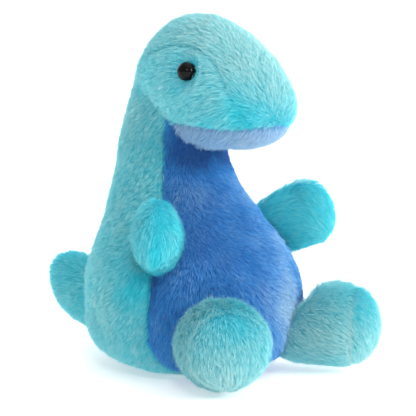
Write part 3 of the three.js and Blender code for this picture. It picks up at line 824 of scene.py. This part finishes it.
def limb(kind, body, panels, fill_node, comb_of, seed, slim=0.0, nudge=(0, 0, 0)):
    """Makes a limb's pile and cloth, and gives its skin."""
    voxel, length, lean = LIMB_KINDS[kind]
    root, direction = limb_direction(body, panels)
    skin = sewn_skin(f"{body}_skin", panels + [fill_node], panels, LIMB_CLOSING, voxel, LIMB_SWELL,
                     reaching(root, direction, slim, np.array(nudge) * MM))

    def carry(piece):
        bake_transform(piece)

    roots = Roots(skin, seed)
    roots.keep(~body_skin.holds(roots.points))
    lean = lean - SOLE_RISE * roots.on("foot_sole_panel")
    plant(roots, comb_of(roots, root, direction), length * roots.pressed(), lean, seed, carry, LIMB_PARTING)
    cut_out(skin, [fill_node], carry)
    return skin


body_skin = sewn_skin("body_skin", TORSO_PANELS + TORSO_FILL + HEAD_PANELS + HEAD_FILL[:1],
                      TORSO_PANELS + HEAD_PANELS, BODY_CLOSING, BODY_VOXEL, BODY_SWELL)
limbs = []
for number, side in enumerate(("left", "right")):
    arm_panels = [f"arm_inner_panel_{side}", f"arm_outer_panel_{side}"]
    limbs.append(limb("arm", f"arm_{side}", arm_panels, f"arm_stuffing_{side}", arm_comb, ARM_SEED + number,
                      *ARM_SHAPES[side]))
    leg_panels = [f"leg_inner_panel_{side}", f"leg_outer_panel_{side}", f"foot_sole_panel_{side}"]
    limbs.append(limb("leg", f"leg_{side}", leg_panels, f"leg_stuffing_{side}", foot_comb, LEG_SEED + number,
                      *LEG_SHAPES[side]))
limbs.append(limb("tail", "tail", ["tail_panel_left", "tail_panel_right"], "tail_stuffing", tail_comb,
                  TAIL_SEED))


# ---- body and head ----
def carry_body(piece):
    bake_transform(piece)


def body_comb(roots):
    """The way each panel of the body and head is brushed, mixed across the seams."""
    x, y, z = roots.points.T
    sideways = np.sign(x)
    zero = np.zeros_like(x)
    minus = zero - 1
    # Each is a direction that is then laid flat on the skin.
    combs = {
        "body_side_panel": (zero, zero + 0.45, minus),
        "belly_panel": (0.35 + x / BELLY_SPREAD, zero, minus),
        "base_panel": (x, y, zero),
        "cheek_panel": (sideways * 0.1, zero + 0.9, zero - 0.55),
        "nape_panel": (zero, zero + 0.3, minus),
        "head_gusset": (sideways * 0.25 * np.minimum(np.abs(x) / GUSSET_MIDDLE, 1), zero + 0.7,
                        1.1 * smoothstep((-y - BROW_END) / NOSE_REACH) - 0.1),
        "chin_panel": (x / CHIN_SPREAD, zero + 0.5, minus * 0.6),
    }
    out = np.zeros((len(x), 3))
    for k, panel in enumerate(roots.skin.panels):
        out += roots.shares[:, k:k + 1] * tangent(np.stack(combs[plain_name(panel)], axis=1), roots.normals)
    return out


roots = Roots(body_skin, ROOT_SEED)
hidden = np.zeros(len(roots.points), bool)
for skin in limbs:
    hidden |= skin.holds(roots.points)
roots.keep(~hidden)
comb = tangent(body_comb(roots), roots.normals)
length = np.full(len(roots.points), BODY_PILE)
length[roots.on("base_panel")] = BASE_PILE
length[roots.on("chin_panel")] = CHIN_PILE
length *= roots.pressed()
covered = np.zeros(len(roots.points), bool)
for centre, axis in EYES.values():
    out = roots.points - centre
    out -= np.outer(out @ axis, axis)
    apart = np.linalg.norm(out, axis=1)
    beside = (roots.points - centre) @ axis > EYE_BACK
    covered |= beside & (apart < EYE_RADIUS * EYE_BARE)
    round_eye = np.exp(-(np.maximum(apart - EYE_RADIUS, 0) / EYE_HOLLOW) ** 2) * beside
    comb += EYE_PUSH * round_eye[:, None] * unit(out)
    length *= 1 - EYE_TRIM * round_eye
roots.keep(~covered)
plant(roots, comb[~covered], length[~covered], BODY_LEAN, STRAND_SEED, carry_body, BODY_PARTING)
cut_out(body_skin, TORSO_FILL + HEAD_FILL, carry_body)

# ---- eyes ----
DOME_SPHERE = (EYE_RADIUS**2 + EYE_DOME**2) / (2 * EYE_DOME)  # radius of the sphere that the dome is a cap of
DOME_EDGE = math.degrees(math.asin(EYE_RADIUS / DOME_SPHERE))
# Each ring is (radius, height above the rim).
EYE_OUTLINE = [(share * EYE_RADIUS, height * MM) for share, height in EYE_EDGE] + [
    (DOME_SPHERE * math.sin(math.radians(a)), DOME_SPHERE * (math.cos(math.radians(a)) - 1) + EYE_DOME)
    for a in np.linspace(DOME_EDGE, DOME_TOP, DOME_RINGS)]
# Black moulded plastic, polished, with the faintest unevenness of its colour.
EYE_GLOSS = speckled_material("eye_gloss", scale=300, Roughness=0.05, Specular_IOR_Level=0.12,
                              stops=[(0.35, (0.0015, 0.0015, 0.002)), (0.65, (0.003, 0.003, 0.0035))])


def eye_dome(side, centre, axis):
    """A domed safety eye: rings from its back to its top, closed at both ends."""
    first = unit(np.cross(axis, Z))
    second = np.cross(axis, first)
    points = []
    for radius, height in EYE_OUTLINE:
        for k in range(EYE_SIDES):
            a = 2 * math.pi * k / EYE_SIDES
            ring = math.cos(a) * first + math.sin(a) * second
            points.append(centre + ring * radius + axis * height)
    points += [centre + axis * EYE_OUTLINE[0][1], centre + axis * EYE_DOME]
    below, above = len(points) - 2, len(points) - 1
    last = EYE_SIDES * (len(EYE_OUTLINE) - 1)
    faces = []
    for k in range(EYE_SIDES):
        n = (k + 1) % EYE_SIDES
        faces += [(r + k, r + k + EYE_SIDES, r + n + EYE_SIDES, r + n) for r in range(0, last, EYE_SIDES)]
        faces += [(n, below, k), (last + k, above, last + n)]
    eye = made(f"eye_dome_{side}", points, faces)
    eye.data.shade_smooth()
    eye.data.materials.append(EYE_GLOSS)
    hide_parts(f"eye_{side}")
    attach(eye, "head")


for side, (centre, axis) in EYES.items():
    eye_dome(side, centre, axis)


# ---- camera, floor and light ----
def facing(azimuth, elevation):
    """The direction from the toy to something at these angles, in degrees; at azimuth 0 it is in front."""
    turn, rise = math.radians(azimuth), math.radians(elevation)
    return Vector((math.sin(turn) * math.cos(rise), -math.cos(turn) * math.cos(rise), math.sin(rise)))


def aimed(obj, back):
    """Turns a lamp or a camera so that its back points that way."""
    obj.rotation_mode = "QUATERNION"
    obj.rotation_quaternion = back.to_track_quat("Z", "Y")


toward = facing(CAMERA["azimuth"], CAMERA["elevation"])
turn = math.radians(CAMERA["azimuth"])
right = Vector((math.cos(turn), math.sin(turn), 0))
above = toward.cross(right)
target = Vector((0, 0, CAMERA["height"])) + right * CAMERA["aside"]
camera_data = bpy.data.cameras.new("camera")
camera_data.lens = CAMERA["lens"]
camera_data.clip_start, camera_data.clip_end = 0.05, 50
camera = linked("camera", camera_data)
camera.location = target + toward * CAMERA["distance"]
aimed(camera, toward)
bpy.context.scene.camera = camera

floor = made("floor", [(x * FLOOR_HALF, y * FLOOR_HALF, 0) for x, y in ((-1, -1), (1, -1), (1, 1), (-1, 1))],
             [(0, 1, 2, 3)])
floor.data.materials.append(principled("pale_floor", Base_Color=(0.98, 0.98, 0.98, 1), Roughness=0.9,
                                       Emission_Color=(1, 1, 1, 1), Emission_Strength=FLOOR_GLOW)[0])

world = bpy.data.worlds.new("studio")
bpy.context.scene.world = world
world.use_nodes = True
world.node_tree.nodes["Background"].inputs["Color"].default_value = (1, 1, 1, 1)
world.node_tree.nodes["Background"].inputs["Strength"].default_value = SURROUNDINGS

for name, (azimuth, elevation, strength, angle, colour) in SUNS.items():
    data = bpy.data.lights.new(name, "SUN")
    data.color = colour
    data.energy = strength
    data.angle = math.radians(angle)
    aimed(linked(name, data), facing(azimuth, elevation))

for name, ((rightward, upward, forward), size, radiance, colour) in WINDOWS.items():
    data = bpy.data.lights.new(name, "AREA")
    data.color = colour
    data.size = size
    data.energy = radiance * math.pi * size**2
    lamp = linked(name, data)
    direction = (right * rightward + above * upward + toward * forward).normalized()
    lamp.location = target + direction
    aimed(lamp, direction)

bpy.context.scene.view_settings.view_transform = "Standard"
